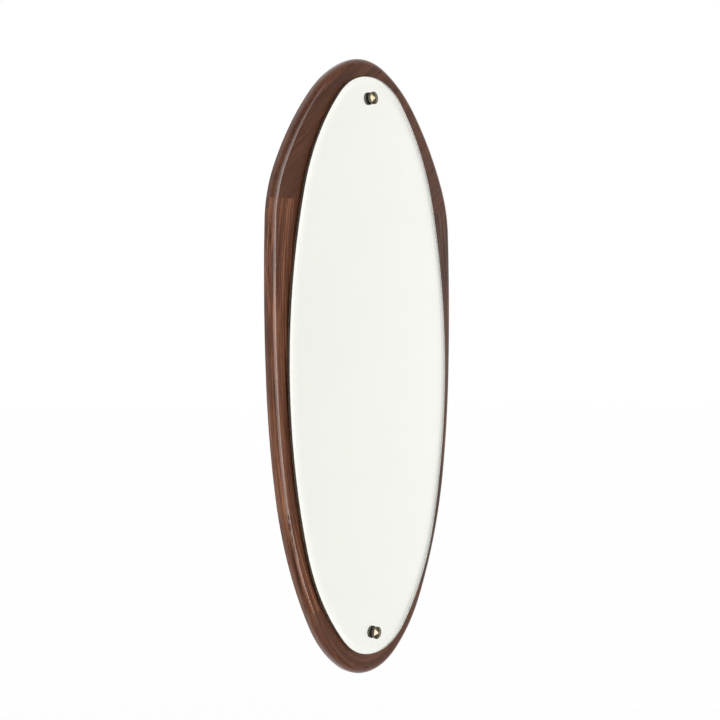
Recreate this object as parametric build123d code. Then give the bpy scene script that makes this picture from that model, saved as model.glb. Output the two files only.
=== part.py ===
from build123d import *

import os
from math import cos, radians, sin

# An oval wall mirror: a bevelled glass stands proud of a shaped wooden frame, held
# by two brass mirror screws with turned caps.
#
# Millimetres. The origin is on the wall plane, behind the middle of the glass.
# +Z is up, +X is to the right of someone who looks into the mirror, and the glass
# faces -Y. A "depth" below is a distance from the wall plane towards that person.

# ---------------------------------------------------------------- driving sizes
# Outlines are chains of tangent arcs from the top middle, clockwise. Each arc is
# (radius, angle that the outline's outward normal has turned from straight up).
GLASS_ARCS = [(97, 48.3), (360, 75.2), (1037, 104.8), (360, 131.7), (97, 180)]
FRAME_ARCS = [
    (96, 24),
    (209, 48.4),
    (462, 65.5),
    (199, 87.7),
    (2815, 92.4),
    (1390, 99.2),
    (635, 118.2),
    (207, 145.1),
]
TOP_MARGIN = 19.7            # flat wood that shows above the glass

FRAME_DEPTH = 16             # thickness of the frame boards
ROUND_RADIUS = 9             # of the rounded edge that bulges beyond the flat face
EDGE_ROOT = 1                # how far the rounded edge laps into the board behind it
REAR_CHAMFER = 1

GLASS_THICK = 6
GLASS_GAP = 2.5              # air between frame face and glass
BEVEL_WIDTH = 12
BEVEL_DROP = 1.3
SILVERING_THICK = 0.15
SILVERING_GAP = 0.02         # keeps the coat's face apart from the face of the glass
SILVERING_INSET = 0.2        # bare glass round the coat's edge

OPENING_HALF_WIDTH = 148     # elliptical opening in the wooden ring
OPENING_HALF_HEIGHT = 372
REBATE_WIDTH = 12            # ledge that carries the backing board
BACKING_THICK = 3
BACKING_PLAY = 0.5
BACKING_SCREWS = 10
BACKING_SCREW_HEAD = 6       # head diameters of the small countersunk screws
HANGER_SCREW_HEAD = 5.2
SMALL_SCREW_DIAMETER = 3
SMALL_SCREW_SUNK = 0.2       # head below the back of the frame
SMALL_SCREW_TIP = 12         # depth of the point
SLOT_WIDTH = 0.8             # driver slots of the small screws
SLOT_DEPTH = 0.9
SLOT_TURN = 37               # degrees between one driver slot and the next

SHOULDER_SEAM = 239.5        # heights of the middles of the half-lap joints
FOOT_SEAM = -350
LAP_LENGTH = 16
DOWEL_DIAMETER = 6
DOWEL_REAR = 0.3             # depths of the dowel's two ends and of its blind hole
DOWEL_FRONT = 12.5
DOWEL_HOLE_FRONT = 13.2
SHOULDER_DOWELS_X = (140, 180)
FOOT_DOWELS_X = (80, 108)

SCREW_HEIGHT = 413           # mirror screws, above and below the middle of the glass
GLASS_HOLE_DIAMETER = 8.2
SLEEVE_DIAMETER = 8
SLEEVE_FLANGE_DIAMETER = 13
SLEEVE_FLANGE_THICK = 1.4
SCREW_DIAMETER = 5.5
SCREW_HEAD_DIAMETER = 9
SCREW_GRIP = 12.5            # length of the mirror screw inside the wood
SPACER_DIAMETER = 20

CAP_DIAMETER = 19
CAP_RIM_HEIGHT = 3.4
CAP_RIM_CHAMFER = 0.5
CAP_CONE_HEIGHT = 2.2
CAP_TIP_RADIUS = 1.2         # the very tip is flatter than the cone
CAP_TIP_HEIGHT = 0.15
CAP_BORE_DIAMETER = 14.4     # hollow underside, over the sleeve's flange
CAP_BORE_DEPTH = 2.2
CAP_WASHER_THICK = 0.6
CAP_WASHER_INSET = 0.3       # from the rim of the cap
CAP_THREAD_DIAMETER = 4
CAP_THREAD_LENGTH = 7.4
CAP_THREAD_CHAMFER = 0.4
CAP_THREAD_SPARE = 1         # tapped hole beyond the end of the thread

CUSHION_DIAMETER = 18
CUSHIONS = 8
CUSHION_INSET = 24           # from the edge of the glass to the middle of a cushion

HANGER_X = 175               # keyhole plates in the back of the side rails
HANGER_Z = 200
HANGER_SIZE = (22, 52)
HANGER_CORNER = 4
HANGER_THICK = 1.5
HANGER_RECESS = 1.7
HANGER_PLAY = 0.2            # round the plate in its seat
KEYHOLE_ENTRY_DIAMETER = 9
KEYHOLE_SLOT_WIDTH = 4.6
KEYHOLE_TRAVEL = 11
HANGER_SCREW_Z = 20          # above and below the middle of the plate
POCKET_SIZE = (14, 28)       # room for the wall screw's head behind the keyhole
POCKET_DEPTH = 7

THREAD_CLEARANCE = 0.05      # radial, on every shank, thread and dowel
PAST = 1                     # how far a cutter runs past the face that it leaves by
FAR = 1000                   # beyond the whole mirror

# ---------------------------------------------------------------- worked-out depths
GLASS_REAR = FRAME_DEPTH + GLASS_GAP
GLASS_FRONT = GLASS_REAR + GLASS_THICK
SILVERING_FRONT = GLASS_REAR - SILVERING_GAP
SILVERING_REAR = SILVERING_FRONT - SILVERING_THICK
SLEEVE_FRONT = GLASS_FRONT + SLEEVE_FLANGE_THICK
CAP_BASE = GLASS_FRONT + CAP_WASHER_THICK
CAP_CEILING = CAP_BASE + CAP_BORE_DEPTH
CAP_SHOULDER = CAP_BASE + CAP_RIM_HEIGHT
CAP_TIP = CAP_SHOULDER + CAP_CONE_HEIGHT


# ---------------------------------------------------------------- shared shapes
def arc_chain(top, arcs, grow=0.0):
    """Right half of an outline, as tangent arcs, and the point where it ends."""
    edges = []
    x, z, turned = 0.0, top + grow, 0.0
    for radius, end in arcs:
        reach = radius + grow
        middle_x = x - reach * sin(radians(turned))
        middle_z = z - reach * cos(radians(turned))
        edges.append(CenterArc((middle_x, middle_z), reach, 90 - end, end - turned))
        x = middle_x + reach * sin(radians(end))
        z = middle_z + reach * cos(radians(end))
        turned = end
    return edges, (x, z)


def outline_face(top, arcs, grow=0.0):
    """The whole symmetric outline as a flat face, X across and Y up."""
    right, _ = arc_chain(top, arcs, grow)
    left = [mirror(edge, about=Plane.YZ) for edge in right]
    return make_face(Curve() + right + left)


def half_height(arcs):
    """Half of the height of an outline that is as long below as above."""
    _, (_, bottom) = arc_chain(0, arcs)
    return -bottom / 2


def slab(face, rear, front):
    """A flat face standing in the XZ plane, thickened between two depths."""
    return extrude(Plane.XZ.offset(rear) * face, amount=front - rear)


def turned(profile, x=0.0, z=0.0):
    """A round piece on an axis along Y, from (radius, depth) points of its profile."""
    section = make_face(Polyline(*[(r, -d) for r, d in profile], close=True))
    body = revolve(section, Axis.Y)
    return Pos(x, 0, z) * body


def disc(radius, rear, front, x=0.0, z=0.0):
    """A plain round disc or pin on an axis along Y."""
    return turned([(0, rear), (radius, rear), (radius, front), (0, front)], x, z)


def ring(inner, outer, rear, front, x=0.0, z=0.0):
    """A flat ring on an axis along Y."""
    return turned([(inner, rear), (outer, rear), (outer, front), (inner, front)], x, z)


def small_screw_profile(head_diameter, grow=0.0):
    """A countersunk screw driven from behind, or the hole that it cuts, head to point."""
    radius = SMALL_SCREW_DIAMETER / 2
    head_radius = head_diameter / 2
    neck = SMALL_SCREW_SUNK + head_radius - radius
    return [
        (0, SMALL_SCREW_SUNK),
        (head_radius + grow, SMALL_SCREW_SUNK),
        (radius + grow, neck),
        (radius + grow, SMALL_SCREW_TIP - radius + grow),
        (0, SMALL_SCREW_TIP + grow),
    ]


def small_screw_hole(head_diameter, x, z):
    """What the screw takes out of the wood, with the counterbore over its sunk head."""
    hole = turned(small_screw_profile(head_diameter, THREAD_CLEARANCE), x, z)
    return hole + disc(head_diameter / 2 + THREAD_CLEARANCE, -PAST, SMALL_SCREW_SUNK, x, z)


def small_screws(head_diameter, places):
    """Slotted screws, each slot turned as the driver left it."""
    screw = turned(small_screw_profile(head_diameter))
    slot = Pos(0, -SMALL_SCREW_SUNK, 0) * Box(2 * head_diameter, 2 * SLOT_DEPTH, SLOT_WIDTH)
    slotted = screw - slot
    return [
        Pos(x, 0, z) * Rot(0, SLOT_TURN * number, 0) * slotted
        for number, (x, z) in enumerate(places)
    ]


# ---------------------------------------------------------------- the wooden frame
def foot_radius():
    """Radius of the last arc, which closes the frame's outline at the bottom."""
    _, (x, _) = arc_chain(0, FRAME_ARCS)
    return x / sin(radians(FRAME_ARCS[-1][1]))


FRAME_OUTLINE = FRAME_ARCS + [(foot_radius(), 180)]
GLASS_TOP = half_height(GLASS_ARCS)
FRAME_TOP = GLASS_TOP + TOP_MARGIN


def opening(grow, rear, front):
    """The elliptical opening in the ring, or a wider copy of it."""
    return slab(Ellipse(OPENING_HALF_WIDTH + grow, OPENING_HALF_HEIGHT + grow), rear, front)


def rounded_edge():
    """The bulging edge on the right half: a quarter round carried along the outline."""
    straight = FRAME_DEPTH - ROUND_RADIUS
    curve = CenterArc((-straight, FRAME_TOP), ROUND_RADIUS, 90, 90)
    rest = Polyline(
        (-FRAME_DEPTH, FRAME_TOP),
        (-FRAME_DEPTH, FRAME_TOP - EDGE_ROOT),
        (0, FRAME_TOP - EDGE_ROOT),
        (0, FRAME_TOP + ROUND_RADIUS - REAR_CHAMFER),
        (-REAR_CHAMFER, FRAME_TOP + ROUND_RADIUS),
        (-straight, FRAME_TOP + ROUND_RADIUS),
    )
    section = Plane.YZ * make_face(Curve() + [curve, rest])
    arcs, _ = arc_chain(FRAME_TOP, FRAME_OUTLINE)
    path = Plane.XZ * Wire(arcs)
    return sweep(section, path=path)


def frame_ring():
    """The ring as if cut from one board, before it is parted into four pieces."""
    right_edge = rounded_edge()
    board = slab(outline_face(FRAME_TOP, FRAME_OUTLINE), 0, FRAME_DEPTH)
    board = board + right_edge + mirror(right_edge, about=Plane.YZ)
    board = board - opening(0, -PAST, FRAME_DEPTH + PAST)
    board = board - opening(REBATE_WIDTH, -PAST, BACKING_THICK)
    for z in (SCREW_HEIGHT, -SCREW_HEIGHT):
        board = board - Pos(0, 0, z) * turned(mirror_screw_profile(THREAD_CLEARANCE))
    hole_radius = DOWEL_DIAMETER / 2 + THREAD_CLEARANCE
    for x, z in dowel_places():
        board = board - disc(hole_radius, -PAST, DOWEL_HOLE_FRONT, x, z)
    for x, z in backing_screw_places():
        board = board - small_screw_hole(BACKING_SCREW_HEAD, x, z)
    for side in (-1, 1):
        board = board - hanger_recess(side)
    return board


def layer(low, high, rear, front):
    """Everything between two heights and two depths."""
    return Pos(0, -(rear + front) / 2, (low + high) / 2) * Box(FAR, front - rear, high - low)


def lapped_zone(front_low, front_high, rear_low, rear_high):
    """The part of the ring that one board takes, stepped at mid-depth for its laps."""
    middle = FRAME_DEPTH / 2
    front = layer(front_low, front_high, middle, FRAME_DEPTH + PAST)
    rear = layer(rear_low, rear_high, -PAST, middle)
    return front + rear


def frame_pieces():
    """Four boards with half-lap joints: an arch, two side rails and a foot."""
    board = frame_ring()
    half_lap = LAP_LENGTH / 2
    arch_zone = lapped_zone(SHOULDER_SEAM + half_lap, FAR, SHOULDER_SEAM - half_lap, FAR)
    foot_zone = lapped_zone(-FAR, FOOT_SEAM - half_lap, -FAR, FOOT_SEAM + half_lap)
    rail_zone = lapped_zone(
        FOOT_SEAM - half_lap,
        SHOULDER_SEAM + half_lap,
        FOOT_SEAM + half_lap,
        SHOULDER_SEAM - half_lap,
    )
    right_side = Pos(FAR / 2, 0, 0) * Box(FAR, FAR, 2 * FAR)
    left_side = Pos(-FAR / 2, 0, 0) * Box(FAR, FAR, 2 * FAR)
    rails = board & rail_zone
    return {
        "top_arch": board & arch_zone,
        "left_side_rail": rails & left_side,
        "right_side_rail": rails & right_side,
        "foot_piece": board & foot_zone,
    }


def dowel_places():
    """Two blind dowels through each of the four half laps."""
    shoulder = [(side * x, SHOULDER_SEAM) for side in (-1, 1) for x in SHOULDER_DOWELS_X]
    foot = [(side * x, FOOT_SEAM) for side in (-1, 1) for x in FOOT_DOWELS_X]
    return shoulder + foot


def lap_dowels():
    radius = DOWEL_DIAMETER / 2
    return [disc(radius, DOWEL_REAR, DOWEL_FRONT, x, z) for x, z in dowel_places()]


# ---------------------------------------------------------------- the back
def backing_screw_places():
    """Evenly stepped round the middle of the rebate's ledge."""
    across = OPENING_HALF_WIDTH + REBATE_WIDTH / 2
    up = OPENING_HALF_HEIGHT + REBATE_WIDTH / 2
    step = 360 / BACKING_SCREWS
    angles = [radians(step * number) for number in range(BACKING_SCREWS)]
    return [(across * sin(angle), up * cos(angle)) for angle in angles]


def backing_board():
    """A thin hardboard oval, let in flush with the back of the frame."""
    board = opening(REBATE_WIDTH - BACKING_PLAY, 0, BACKING_THICK)
    for x, z in backing_screw_places():
        board = board - small_screw_hole(BACKING_SCREW_HEAD, x, z)
    return board


def hanger_screw_places(side):
    x = side * HANGER_X
    return [(x, HANGER_Z + HANGER_SCREW_Z), (x, HANGER_Z - HANGER_SCREW_Z)]


def hanger_outline(play=0.0):
    width, height = HANGER_SIZE
    return RectangleRounded(width + 2 * play, height + 2 * play, HANGER_CORNER + play)


def hanger_recess(side):
    """Shallow seat for a keyhole plate, and the pocket that clears the wall screw's head."""
    place = Pos(side * HANGER_X, 0, HANGER_Z)
    seat = slab(hanger_outline(HANGER_PLAY), -PAST, HANGER_RECESS)
    width, height = POCKET_SIZE
    pocket = slab(SlotOverall(height, width, rotation=90), -PAST, POCKET_DEPTH)
    recess = place * (seat + pocket)
    for x, z in hanger_screw_places(side):
        recess = recess + small_screw_hole(HANGER_SCREW_HEAD, x, z)
    return recess


def hanger_plate(side):
    """Steel plate with a keyhole: the wall screw's head enters below and slides up."""
    plate = slab(hanger_outline(), HANGER_RECESS - HANGER_THICK, HANGER_RECESS)
    entry = disc(KEYHOLE_ENTRY_DIAMETER / 2, -PAST, POCKET_DEPTH, z=-KEYHOLE_TRAVEL / 2)
    slot_face = SlotCenterToCenter(KEYHOLE_TRAVEL, KEYHOLE_SLOT_WIDTH, rotation=90)
    plate = plate - entry - slab(slot_face, -PAST, POCKET_DEPTH)
    plate = Pos(side * HANGER_X, 0, HANGER_Z) * plate
    for x, z in hanger_screw_places(side):
        plate = plate - small_screw_hole(HANGER_SCREW_HEAD, x, z)
    return plate


# ---------------------------------------------------------------- the glass
def mirror_glass():
    """Float glass with a wide polished bevel and a hole for each mirror screw."""
    land_front = GLASS_FRONT - BEVEL_DROP
    base = outline_face(GLASS_TOP, GLASS_ARCS)
    crown = outline_face(GLASS_TOP, GLASS_ARCS, grow=-BEVEL_WIDTH)
    glass = slab(base, GLASS_REAR, land_front)
    bevel = loft([Plane.XZ.offset(land_front) * base, Plane.XZ.offset(GLASS_FRONT) * crown])
    glass = glass + bevel
    for z in (SCREW_HEIGHT, -SCREW_HEIGHT):
        glass = glass - disc(GLASS_HOLE_DIAMETER / 2, 0, GLASS_FRONT + PAST, 0, z)
    return glass


def silvering():
    """Silver, copper and paint on the rear face of the glass, just short of its edges."""
    coated = outline_face(GLASS_TOP, GLASS_ARCS, grow=-SILVERING_INSET)
    coat = slab(coated, SILVERING_REAR, SILVERING_FRONT)
    bare_radius = GLASS_HOLE_DIAMETER / 2 + SILVERING_INSET
    for z in (SCREW_HEIGHT, -SCREW_HEIGHT):
        coat = coat - disc(bare_radius, 0, GLASS_FRONT, 0, z)
    return coat


def glass_cushions():
    """Felt discs on the frame's face, which hold the glass off the wood."""
    _, (widest, _) = arc_chain(0, GLASS_ARCS[:2] + [(GLASS_ARCS[2][0], 90)])
    across, up = widest - CUSHION_INSET, GLASS_TOP - CUSHION_INSET
    angles = [radians(360 * (number + 0.5) / CUSHIONS) for number in range(CUSHIONS)]
    places = [(across * sin(angle), up * cos(angle)) for angle in angles]
    return [disc(CUSHION_DIAMETER / 2, FRAME_DEPTH, SILVERING_REAR, x, z) for x, z in places]


# ---------------------------------------------------------------- a mirror screw
def mirror_screw_profile(grow=0.0):
    """The outside of a mirror screw, or the hole that it cuts, from point to head."""
    radius = SCREW_DIAMETER / 2
    head_radius = SCREW_HEAD_DIAMETER / 2
    tip = FRAME_DEPTH - SCREW_GRIP
    neck = SLEEVE_FRONT - (head_radius - radius)
    return [
        (0, tip - grow),
        (radius + grow, tip + radius),
        (radius + grow, neck),
        (head_radius + grow, SLEEVE_FRONT),
        (0, SLEEVE_FRONT),
    ]


def mirror_screw():
    """Countersunk brass screw; its head is tapped for the cap."""
    bore_end = CAP_CEILING - CAP_THREAD_LENGTH - CAP_THREAD_SPARE
    bore = disc(CAP_THREAD_DIAMETER / 2, bore_end, SLEEVE_FRONT + PAST)
    return turned(mirror_screw_profile()) - bore


def screw_sleeve():
    """Nylon sleeve that keeps the screw off the glass, with a flange on its face."""
    outer = SLEEVE_DIAMETER / 2
    tube = disc(outer, SILVERING_REAR, GLASS_FRONT)
    flange = disc(SLEEVE_FLANGE_DIAMETER / 2, GLASS_FRONT, SLEEVE_FRONT)
    return tube + flange - turned(mirror_screw_profile(THREAD_CLEARANCE))


def glass_spacer():
    """Rubber washer between the wood and the back of the glass."""
    inner = SCREW_DIAMETER / 2 + THREAD_CLEARANCE
    return ring(inner, SPACER_DIAMETER / 2, FRAME_DEPTH, SILVERING_REAR)


def cap_washer():
    """Thin clear ring that stays in the cap's rim and meets the glass."""
    outer = CAP_DIAMETER / 2 - CAP_WASHER_INSET
    return ring(CAP_BORE_DIAMETER / 2, outer, GLASS_FRONT, CAP_BASE)


def screw_cap():
    """Turned brass cap: a low cone on a rim, hollow below, with a threaded spigot."""
    rim = CAP_DIAMETER / 2
    hollow = CAP_BORE_DIAMETER / 2
    spigot = CAP_THREAD_DIAMETER / 2 - THREAD_CLEARANCE
    spigot_end = CAP_CEILING - CAP_THREAD_LENGTH
    profile = [
        (0, spigot_end),
        (spigot - CAP_THREAD_CHAMFER, spigot_end),
        (spigot, spigot_end + CAP_THREAD_CHAMFER),
        (spigot, CAP_CEILING),
        (hollow, CAP_CEILING),
        (hollow, CAP_BASE),
        (rim, CAP_BASE),
        (rim, CAP_SHOULDER - CAP_RIM_CHAMFER),
        (rim - CAP_RIM_CHAMFER, CAP_SHOULDER),
        (CAP_TIP_RADIUS, CAP_TIP - CAP_TIP_HEIGHT),
        (0, CAP_TIP),
    ]
    return turned(profile)


def fitting(name, z):
    """The five pieces of one mirror screw, at its height."""
    pieces = {
        "mirror_screw": mirror_screw(),
        "screw_sleeve": screw_sleeve(),
        "glass_spacer": glass_spacer(),
        "cap_washer": cap_washer(),
        "screw_cap": screw_cap(),
    }
    return {f"{name}_{piece}": Pos(0, 0, z) * shape for piece, shape in pieces.items()}


# ---------------------------------------------------------------- every node
def nodes():
    parts = frame_pieces()
    parts["lap_dowels"] = Compound(lap_dowels())
    parts["backing_board"] = backing_board()
    parts["backing_board_screws"] = Compound(
        small_screws(BACKING_SCREW_HEAD, backing_screw_places())
    )
    parts["left_hanger_plate"] = hanger_plate(-1)
    parts["right_hanger_plate"] = hanger_plate(1)
    hanger_places = hanger_screw_places(-1) + hanger_screw_places(1)
    parts["hanger_screws"] = Compound(small_screws(HANGER_SCREW_HEAD, hanger_places))
    parts["mirror_glass"] = mirror_glass()
    parts["silvering"] = silvering()
    parts["glass_cushions"] = Compound(glass_cushions())
    parts.update(fitting("upper", SCREW_HEIGHT))
    parts.update(fitting("lower", -SCREW_HEIGHT))
    return parts


os.makedirs("parts", exist_ok=True)
for node, shape in nodes().items():
    export_step(shape, f"parts/{node}.step")
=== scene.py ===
from math import cos, pi, radians, sin

import bmesh
import bpy
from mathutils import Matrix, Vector


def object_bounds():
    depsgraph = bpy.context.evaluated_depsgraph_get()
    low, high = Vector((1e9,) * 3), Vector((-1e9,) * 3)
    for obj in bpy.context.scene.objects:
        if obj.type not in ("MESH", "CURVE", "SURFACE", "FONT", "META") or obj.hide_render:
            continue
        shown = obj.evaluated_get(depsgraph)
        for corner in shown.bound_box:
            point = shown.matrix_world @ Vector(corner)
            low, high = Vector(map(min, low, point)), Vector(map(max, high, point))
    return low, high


# The looks of an oval wall mirror: figured dark wood, bevelled silvered glass and
# aged brass caps. Metres, in the frame's own axes: +Z up, the glass faces -Y.

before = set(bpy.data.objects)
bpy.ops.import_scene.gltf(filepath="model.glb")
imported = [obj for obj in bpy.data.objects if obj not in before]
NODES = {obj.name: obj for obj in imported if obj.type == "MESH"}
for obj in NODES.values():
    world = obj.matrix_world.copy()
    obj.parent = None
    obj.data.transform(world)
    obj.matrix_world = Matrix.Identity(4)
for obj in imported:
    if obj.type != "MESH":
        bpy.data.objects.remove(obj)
CAD_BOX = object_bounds()

# The photographed view, measured from the middle of the glass.
VIEW_ANGLE = radians(50)         # how far round to the left of straight on
VIEW_DISTANCE = 1.831            # to the face of the wooden frame
VIEW_HEIGHT = 0.0745
VIEW_DROP = radians(2.07)        # the camera looks slightly down
VIEW_ROLL = radians(0.36)
FILM_WIDTH = 36                  # mm
FOCAL_LENGTH = 59.15             # mm
VIEW_SHIFT = (-0.0133, 0.0028)   # of the frame, right and up, in widths of the picture
FRAME_FACE = -0.016              # y of the flat face of the wood

# The ellipse that the frame's sides and foot come close to, which the grain follows.
BULGE_HEIGHT = 0.05              # its middle
BULGE_SHAPE = 0.39               # its width over its height

FLOOR_DROP = 0.60                # floor below the lowest wood
FLOOR_RADIUS = 14
FLOOR_SIDES = 96                 # enough to look round

# The white studio around the mirror, with a strength for each kind of ray. The stops give the
# sky's grey by how near a ray is to one direction, from 0 straight away from it to 1 straight
# towards it. Directions are angles round from straight in front.
SEEN_SKY = 1.0                   # the white of the backdrop
DIFFUSE_SKY = 1.10               # lights the floor up to that white
GLOSS_SKY = 1.0
GLOSS_DIRECTION = radians(-25)
GLOSS_STOPS = (
    # Behind the mirror and beside it, which the rounded edge of the wood reflects.
    (0.40, 0.95), (0.52, 0.75), (0.60, 0.60),
    # In front of it.
    (0.645, 0.15), (0.70, 0.10), (0.80, 0.28), (1.0, 0.32),
)
MIRROR_SKY = 1.58                # makes up for what the glass and the silver take
MIRROR_DIRECTION = VIEW_ANGLE - pi / 2   # at a right angle to the reflected view
MIRROR_STOPS = (
    # In the photographed view: the left bevel, the flat glass and the right bevel.
    (0.40, 0.84), (0.43, 0.73), (0.474, 0.662), (0.538, 0.631), (0.56, 0.60), (0.585, 0.46),
    # From straight on: a bevel at each end and the flat glass between them.
    (0.70, 0.50), (0.82, 0.60), (0.94, 0.47),
)

# Strip lights: name, angle round from straight in front, width and height, height of the
# middle, and brightness, which is the radiance.
LIGHT_DISTANCE = 2.0             # from the wall behind the middle of the glass
STRIP_LIGHTS = (
    ("narrow_strip", radians(17), (0.80, 2.30), -0.05, 4.0),
    ("wide_strip", radians(5), (1.80, 3.00), 0.30, 2.5),
    ("left_strip", radians(-30), (2.00, 3.20), 0.25, 0.6),
)

# A Mix node's sockets for colours, which share their names with those for numbers.
MIX_INPUTS = (0, 6, 7)
MIX_RESULT = 2


# ---------------------------------------------------------------- node helpers
def fill_stops(ramp, stops):
    """Gives a colour ramp its stops, which are (position, colour or grey)."""
    while len(ramp.elements) < len(stops):
        ramp.elements.new(0.5)
    for element, (position, colour) in zip(ramp.elements, stops):
        element.position = position
        if isinstance(colour, (int, float)):
            colour = (colour, colour, colour)
        element.color = (*colour, 1.0)


class Shader:
    """A short way to write a node tree."""

    def __init__(self, name):
        self.material = bpy.data.materials.new(name)
        self.material.use_nodes = True
        self.tree = self.material.node_tree
        self.surface = self.tree.nodes["Principled BSDF"]

    def node(self, kind, **settings):
        made = self.tree.nodes.new(kind)
        for key, value in settings.items():
            setattr(made, key, value)
        return made

    def link(self, source, target):
        self.tree.links.new(source, target)

    def value(self, **sockets):
        """Sets constants on the surface's own sockets, with _ for a space."""
        for key, number in sockets.items():
            self.surface.inputs[key.replace("_", " ")].default_value = number

    def here(self):
        """The place on the piece, in metres, which moves with the piece."""
        return self.node("ShaderNodeTexCoord").outputs["Object"]

    def axes(self, vector):
        """The X, Y and Z of a vector, by name."""
        parts = self.node("ShaderNodeSeparateXYZ")
        self.link(vector, parts.inputs["Vector"])
        return parts.outputs

    def facing(self):
        """1 where the surface faces the wall, -1 where it faces the room, 0 on its sides."""
        return self.axes(self.node("ShaderNodeTexCoord").outputs["Normal"])["Y"]

    def place(self, scale=(1, 1, 1), turn=(0, 0, 0), shift=(0, 0, 0), source=None):
        """Object coordinates, or another source, shifted, turned and then scaled."""
        turned = self.node("ShaderNodeMapping", vector_type="POINT")
        turned.inputs["Location"].default_value = shift
        turned.inputs["Rotation"].default_value = turn
        scaled = self.node("ShaderNodeMapping", vector_type="POINT")
        scaled.inputs["Scale"].default_value = scale
        self.link(source or self.here(), turned.inputs["Vector"])
        self.link(turned.outputs["Vector"], scaled.inputs["Vector"])
        return scaled.outputs["Vector"]

    def noise(self, place, scale, detail=4.0, roughness=0.55, distortion=0.0):
        """Smooth random values about 0.5, with about as many blots to the metre as scale."""
        made = self.node("ShaderNodeTexNoise")
        made.inputs["Scale"].default_value = scale
        made.inputs["Detail"].default_value = detail
        made.inputs["Roughness"].default_value = roughness
        made.inputs["Distortion"].default_value = distortion
        self.link(place, made.inputs["Vector"])
        return made.outputs["Fac"]

    def ramp(self, source, stops):
        """Colours or greys along a value."""
        made = self.node("ShaderNodeValToRGB")
        fill_stops(made.color_ramp, stops)
        self.link(source, made.inputs["Fac"])
        return made.outputs["Color"]

    def span(self, source, low, high, from_low=0.0, from_high=1.0):
        """Values from_low to from_high stretched to run from low to high, and no further."""
        made = self.node("ShaderNodeMapRange")
        made.inputs["From Min"].default_value = from_low
        made.inputs["From Max"].default_value = from_high
        made.inputs["To Min"].default_value = low
        made.inputs["To Max"].default_value = high
        self.link(source, made.inputs["Value"])
        return made.outputs["Result"]

    def math(self, operation, first, second=0.0):
        made = self.node("ShaderNodeMath", operation=operation)
        self.feed(first, made.inputs[0])
        self.feed(second, made.inputs[1])
        return made.outputs["Value"]

    def mix(self, amount, first, second, blend="MIX"):
        made = self.node("ShaderNodeMix", data_type="RGBA", blend_type=blend)
        for socket, value in zip(MIX_INPUTS, (amount, first, second)):
            self.feed(value, made.inputs[socket])
        return made.outputs[MIX_RESULT]

    def feed(self, value, socket):
        """Links an output, or sets a constant colour or number."""
        if isinstance(value, bpy.types.NodeSocket):
            self.link(value, socket)
        elif isinstance(value, tuple):
            socket.default_value = (*value, 1.0)
        else:
            socket.default_value = value

    def bump(self, height, strength, distance):
        made = self.node("ShaderNodeBump")
        made.inputs["Strength"].default_value = strength
        made.inputs["Distance"].default_value = distance
        self.link(height, made.inputs["Height"])
        self.link(made.outputs["Normal"], self.surface.inputs["Normal"])

    def colour(self, source):
        self.link(source, self.surface.inputs["Base Color"])

    def roughness(self, source):
        self.link(source, self.surface.inputs["Roughness"])


def dress(material, *names):
    """Gives pieces one material in place of the one that they came with."""
    for name in names:
        NODES[name].data.materials.clear()
        NODES[name].data.materials.append(material)


# ---------------------------------------------------------------- materials
def along_outline(shader, axis):
    """Coordinates for the grain of bent boards. X grows outwards over ellipses that lie
    close to the frame's outline, and Z runs along the board, on the axis given."""
    place = shader.axes(shader.here())
    across = place["X"]
    rise = shader.math("MULTIPLY", shader.math("SUBTRACT", place["Z"], BULGE_HEIGHT), BULGE_SHAPE)
    squares = shader.math("MULTIPLY", across, across), shader.math("MULTIPLY", rise, rise)
    joined = shader.node("ShaderNodeCombineXYZ")
    shader.link(shader.math("SQRT", shader.math("ADD", *squares)), joined.inputs["X"])
    shader.link(place["Y"], joined.inputs["Y"])
    shader.link(place[axis], joined.inputs["Z"])
    return joined.outputs["Vector"]


def rosewood(name, seed, fineness, colours, lean=0.0, bent_along=None):
    """Striped dark wood. The grain leans from upright by an angle, in the XZ plane,
    or follows the outline along X or Z. A higher fineness packs the stripes closer."""
    shader = Shader(name)
    source = along_outline(shader, bent_along) if bent_along else shader.here()
    shift = (seed * 1.7, seed * 0.9, seed * 2.3)     # each board has its own figure

    def grain(across, along, detail, roughness=0.5, distortion=0.0):
        """Noise drawn out along the board, with so many blots to the metre each way."""
        place = shader.place((across, across, along), (0, lean, 0), shift, source)
        return shader.noise(place, 1, detail, roughness, distortion)

    broad = grain(60, 5, 3, 0.5, 0.6)
    streak = grain(fineness, 6, 4, 0.6, 0.3)
    stripe = grain(2.4 * fineness, 7, 3, 0.6)
    pore = grain(2500, 85, 2)
    figure = shader.mix(0.45, shader.mix(0.6, broad, streak), stripe)
    dark, middle, light = colours
    colour = shader.ramp(figure, [(0.40, dark), (0.50, middle), (0.60, light)])
    pores = shader.ramp(pore, [(0.36, 0.45), (0.46, 1.0)])
    shader.colour(shader.mix(0.75, colour, pores, "MULTIPLY"))
    shader.roughness(shader.span(streak, 0.40, 0.55, 0.3, 0.7))
    shader.value(IOR=1.45, Specular_IOR_Level=0.05, Coat_Weight=0.8, Coat_Roughness=0.13)
    shader.bump(pore, 0.12, 0.0003)
    return shader.material


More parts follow.
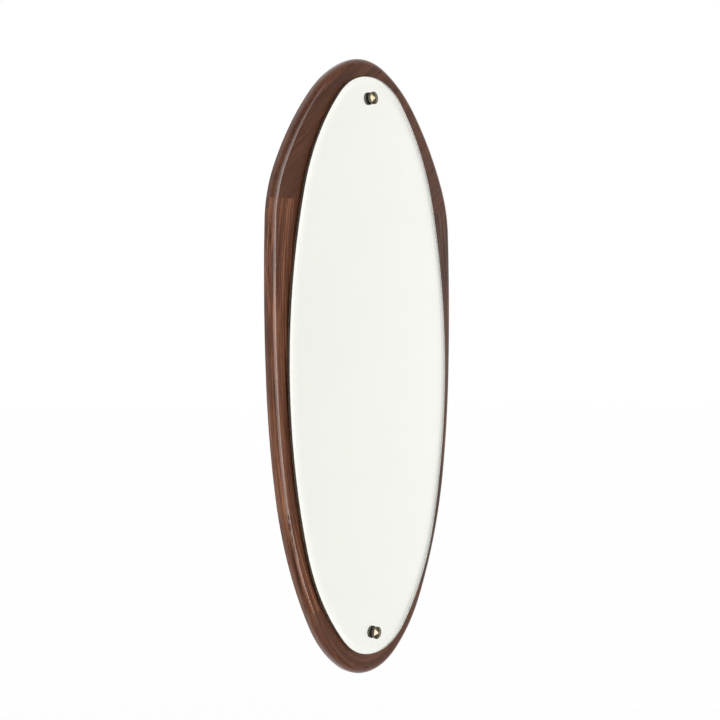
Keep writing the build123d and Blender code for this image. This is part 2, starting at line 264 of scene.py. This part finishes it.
def clear_glass():
    """Clear float glass, faintly smeared by a cloth, with a lightly ground side wall."""
    shader = Shader("clear_glass")
    # 0 on the faces and the bevel, 1 on the side wall and in the holes.
    ground = shader.span(shader.math("ABSOLUTE", shader.facing()), 1.0, 0.0, 0.3, 0.6)
    grit = shader.noise(shader.place(), 1400, 3)
    smear = shader.noise(shader.place((5, 5, 2)), 4, 3)
    polished = shader.span(smear, 0.006, 0.012, 0.3, 0.7)
    shader.roughness(shader.mix(ground, polished, shader.span(grit, 0.10, 0.25, 0.3, 0.7)))
    dusty = shader.ramp(grit, [(0.3, (0.70, 0.56, 0.42)), (0.7, (0.88, 0.74, 0.58))])
    shader.colour(shader.mix(ground, (0.988, 0.992, 0.985), dusty))
    shader.link(shader.span(ground, 1.0, 0.90), shader.surface.inputs["Transmission Weight"])
    shader.value(IOR=1.52)
    return shader.material


def silver_and_paint():
    """Silver on the side that the glass covers, grey paint on the wall side."""
    shader = Shader("silvering")
    # 0 on the silver, 1 on the paint.
    paint = shader.span(shader.facing(), 0.0, 1.0, -0.1, 0.1)
    cloud = shader.noise(shader.place(), 7, 3)
    silver = shader.ramp(cloud, [(0.3, (0.945, 0.940, 0.895)), (0.7, (0.960, 0.955, 0.910))])
    speckle = shader.noise(shader.place(), 320, 2)
    grey = shader.ramp(speckle, [(0.35, (0.16, 0.17, 0.17)), (0.65, (0.24, 0.25, 0.25))])
    shader.colour(shader.mix(paint, silver, grey))
    shader.link(shader.span(paint, 1.0, 0.0), shader.surface.inputs["Metallic"])
    shader.roughness(shader.span(paint, 0.0, 0.55))
    return shader.material


def brass():
    """Turned brass gone brown, with fine lathe rings and uneven tarnish."""
    shader = Shader("brass")
    tarnish = shader.noise(shader.place(), 260, 4, 0.6)
    fine = shader.noise(shader.place((1, 6, 1)), 1500, 2)
    tone = shader.mix(0.35, tarnish, fine)
    shader.colour(shader.ramp(tone, [(0.36, (0.10, 0.082, 0.050)), (0.64, (0.26, 0.23, 0.165))]))
    shader.roughness(shader.span(tone, 0.13, 0.26, 0.3, 0.7))
    shader.value(Metallic=1.0)
    shader.bump(fine, 0.12, 0.00005)
    return shader.material


def zinc():
    """Zinc-plated steel, brushed upright and faintly spangled."""
    shader = Shader("zinc_steel")
    brushed = shader.noise(shader.place((900, 900, 30)), 1, 4, 0.6)
    spangle = shader.noise(shader.place(), 90, 3)
    tone = shader.mix(0.5, brushed, spangle)
    shader.colour(shader.ramp(tone, [(0.3, (0.42, 0.42, 0.40)), (0.7, (0.66, 0.66, 0.64))]))
    shader.roughness(shader.span(tone, 0.28, 0.5, 0.3, 0.7))
    shader.value(Metallic=1.0)
    shader.bump(brushed, 0.2, 0.00005)
    return shader.material


def hardboard():
    """Pressed fibre, smooth but mottled, with stray dark fibres."""
    shader = Shader("hardboard")
    cloud = shader.noise(shader.place(), 14, 5, 0.6)
    fibre = shader.noise(shader.place((1, 1, 3)), 420, 4, 0.65, 0.8)
    tone = shader.mix(0.5, cloud, fibre)
    shader.colour(shader.ramp(tone, [(0.36, (0.13, 0.075, 0.038)), (0.62, (0.30, 0.18, 0.095))]))
    shader.roughness(shader.span(fibre, 0.55, 0.8, 0.3, 0.7))
    shader.bump(fibre, 0.25, 0.0003)
    return shader.material


def beech():
    """Pale dowel wood, with flecks along the dowel."""
    shader = Shader("beech")
    fleck = shader.noise(shader.place((900, 60, 900)), 1, 4)
    shader.colour(shader.ramp(fleck, [(0.35, (0.48, 0.30, 0.17)), (0.65, (0.66, 0.46, 0.28))]))
    shader.roughness(shader.span(fleck, 0.5, 0.7, 0.3, 0.7))
    shader.bump(fleck, 0.2, 0.0001)
    return shader.material


def matt(name, dark, light, scale, rough, depth):
    """A soft or moulded stuff with a fine even texture, as deep as depth."""
    shader = Shader(name)
    texture = shader.noise(shader.place(), scale, 5, 0.65)
    shader.colour(shader.ramp(texture, [(0.35, dark), (0.65, light)]))
    shader.roughness(shader.span(texture, rough - 0.08, rough + 0.08, 0.3, 0.7))
    shader.bump(texture, 0.4, depth)
    return shader.material


def dress_wood():
    """Four boards cut from different planks. Colours run from the dark streaks to the light."""
    left = (0.036, 0.0120, 0.0060), (0.140, 0.047, 0.0215), (0.300, 0.120, 0.056)
    right = (0.032, 0.0120, 0.0065), (0.090, 0.037, 0.0205), (0.170, 0.076, 0.040)
    arch = (0.048, 0.0160, 0.0080), (0.096, 0.033, 0.0155), (0.155, 0.058, 0.028)
    foot = (0.085, 0.0300, 0.0155), (0.128, 0.047, 0.0250), (0.185, 0.072, 0.038)
    dress(rosewood("rosewood_left", 8, 190, left, bent_along="Z"), "left_side_rail")
    dress(rosewood("rosewood_right", 5, 190, right, bent_along="Z"), "right_side_rail")
    dress(rosewood("rosewood_arch", 2, 700, arch, lean=radians(-52)), "top_arch")
    dress(rosewood("rosewood_foot", 3, 230, foot, bent_along="X"), "foot_piece")


def dress_glass_and_back():
    """The glass with its silvering, the board and plates in the back, and the dowels."""
    dress(clear_glass(), "mirror_glass")
    dress(silver_and_paint(), "silvering")
    dress(hardboard(), "backing_board")
    dress(beech(), "lap_dowels")
    steel = zinc()
    dress(steel, "backing_board_screws", "hanger_screws")
    dress(steel, "left_hanger_plate", "right_hanger_plate")


def dress_fixings():
    """The two caps, their screws and what is clamped under them, and the felt discs."""
    metal = brass()
    nylon = matt("nylon", (0.62, 0.60, 0.54), (0.74, 0.73, 0.68), 900, 0.42, 0.00003)
    rubber = matt("rubber", (0.012, 0.012, 0.012), (0.035, 0.035, 0.034), 1200, 0.7, 0.00005)
    vinyl = matt("vinyl", (0.50, 0.52, 0.50), (0.62, 0.64, 0.62), 700, 0.2, 0.00002)
    felt = matt("felt", (0.010, 0.010, 0.010), (0.045, 0.043, 0.040), 1500, 0.9, 0.0004)
    dress(felt, "glass_cushions")
    for end in ("upper", "lower"):
        dress(metal, f"{end}_screw_cap", f"{end}_mirror_screw")
        dress(nylon, f"{end}_screw_sleeve")
        dress(rubber, f"{end}_glass_spacer")
        dress(vinyl, f"{end}_cap_washer")


# ---------------------------------------------------------------- studio
def heading(angle):
    """The level direction at an angle from straight in front of the mirror, towards +X."""
    return (sin(angle), -cos(angle), 0)


def plain_sky(tree, strength):
    """A white sky of one strength all over."""
    background = tree.nodes.new("ShaderNodeBackground")
    background.inputs["Color"].default_value = (1, 1, 1, 1)
    background.inputs["Strength"].default_value = strength
    return background


def shaded_sky(tree, strength, towards, stops):
    """A grey sky that depends on how near a ray's direction is to one direction."""
    background = plain_sky(tree, strength)
    coordinates = tree.nodes.new("ShaderNodeTexCoord")
    nearness = tree.nodes.new("ShaderNodeVectorMath")
    nearness.operation = "DOT_PRODUCT"
    nearness.inputs[1].default_value = towards
    unit = tree.nodes.new("ShaderNodeMapRange")
    unit.inputs["From Min"].default_value = -1
    shade = tree.nodes.new("ShaderNodeValToRGB")
    fill_stops(shade.color_ramp, stops)
    tree.links.new(coordinates.outputs["Generated"], nearness.inputs[0])
    tree.links.new(nearness.outputs["Value"], unit.inputs["Value"])
    tree.links.new(unit.outputs["Result"], shade.inputs["Fac"])
    tree.links.new(shade.outputs["Color"], background.inputs["Color"])
    return background


def studio_world():
    """A white studio: plain to the eye, dark before the mirror for gloss, soft in the glass."""
    world = bpy.data.worlds.new("studio")
    bpy.context.scene.world = world
    world.use_nodes = True
    tree = world.node_tree
    tree.nodes.remove(tree.nodes["Background"])
    rays = tree.nodes.new("ShaderNodeLightPath")
    gloss_sky = shaded_sky(tree, GLOSS_SKY, heading(GLOSS_DIRECTION), GLOSS_STOPS)
    mirror_sky = shaded_sky(tree, MIRROR_SKY, heading(MIRROR_DIRECTION), MIRROR_STOPS)
    seen = plain_sky(tree, SEEN_SKY)
    for ray, sky in (
        ("Is Diffuse Ray", plain_sky(tree, DIFFUSE_SKY)),
        ("Is Glossy Ray", gloss_sky),
        ("Is Transmission Ray", mirror_sky),
    ):
        choice = tree.nodes.new("ShaderNodeMixShader")
        tree.links.new(rays.outputs[ray], choice.inputs["Fac"])
        tree.links.new(seen.outputs[0], choice.inputs[1])
        tree.links.new(sky.outputs[0], choice.inputs[2])
        seen = choice
    tree.links.new(seen.outputs[0], tree.nodes["World Output"].inputs["Surface"])


def wood_and_metal():
    """The pieces that the strip lights shine on: everything but the glass and its silvering."""
    pieces = bpy.data.collections.new("wood_and_metal")
    for name, node in NODES.items():
        if name not in ("mirror_glass", "silvering"):
            pieces.objects.link(node)
    return pieces


def strip_light(name, angle, size, height, brightness, receivers):
    """A tall soft source that only gloss shows, as the bright line on the rounded edge."""
    light = bpy.data.lights.new(name, "AREA")
    light.shape = "RECTANGLE"
    light.size, light.size_y = size
    light.energy = pi * light.size * light.size_y * brightness
    lamp = bpy.data.objects.new(name, light)
    bpy.context.scene.collection.objects.link(lamp)
    lamp.location = Vector(heading(angle)) * LIGHT_DISTANCE + Vector((0, 0, height))
    lamp.rotation_euler = (pi / 2, 0, angle)
    lamp.visible_transmission = False
    lamp.visible_diffuse = False
    lamp.light_linking.receiver_collection = receivers


def pale_floor():
    """A large round floor below the mirror, fading into the white around it."""
    mesh = bpy.data.meshes.new("floor")
    shape = bmesh.new()
    low = CAD_BOX[0][2] - FLOOR_DROP
    bmesh.ops.create_circle(shape, cap_ends=True, segments=FLOOR_SIDES, radius=FLOOR_RADIUS)
    bmesh.ops.translate(shape, vec=(0, 0, low), verts=shape.verts)
    shape.to_mesh(mesh)
    shape.free()
    floor = bpy.data.objects.new("floor", mesh)
    bpy.context.scene.collection.objects.link(floor)
    shader = Shader("pale_floor")
    grain = shader.noise(shader.place(), 40, 4)
    shader.colour(shader.ramp(grain, [(0.3, 0.91), (0.7, 0.93)]))
    shader.value(Roughness=1.0, Specular_IOR_Level=0.0)
    mesh.materials.append(shader.material)
    floor.visible_glossy = False
    floor.visible_transmission = False


def camera():
    """The photographed view."""
    lens = bpy.data.cameras.new("camera")
    lens.lens = FOCAL_LENGTH
    lens.sensor_width = FILM_WIDTH
    lens.shift_x, lens.shift_y = VIEW_SHIFT
    eye = bpy.data.objects.new("camera", lens)
    bpy.context.scene.collection.objects.link(eye)
    away = Vector(heading(-VIEW_ANGLE)) * VIEW_DISTANCE
    eye.location = away + Vector((0, FRAME_FACE, VIEW_HEIGHT))
    eye.rotation_euler = (pi / 2 - VIEW_DROP, VIEW_ROLL, -VIEW_ANGLE)
    bpy.context.scene.camera = eye


def studio():
    """The sky, the floor, the lamps and the camera."""
    studio_world()
    pale_floor()
    receivers = wood_and_metal()
    for name, angle, size, height, brightness in STRIP_LIGHTS:
        strip_light(name, angle, size, height, brightness, receivers)
    camera()
    bpy.context.scene.view_settings.view_transform = "Standard"


dress_wood()
dress_glass_and_back()
dress_fixings()
studio()
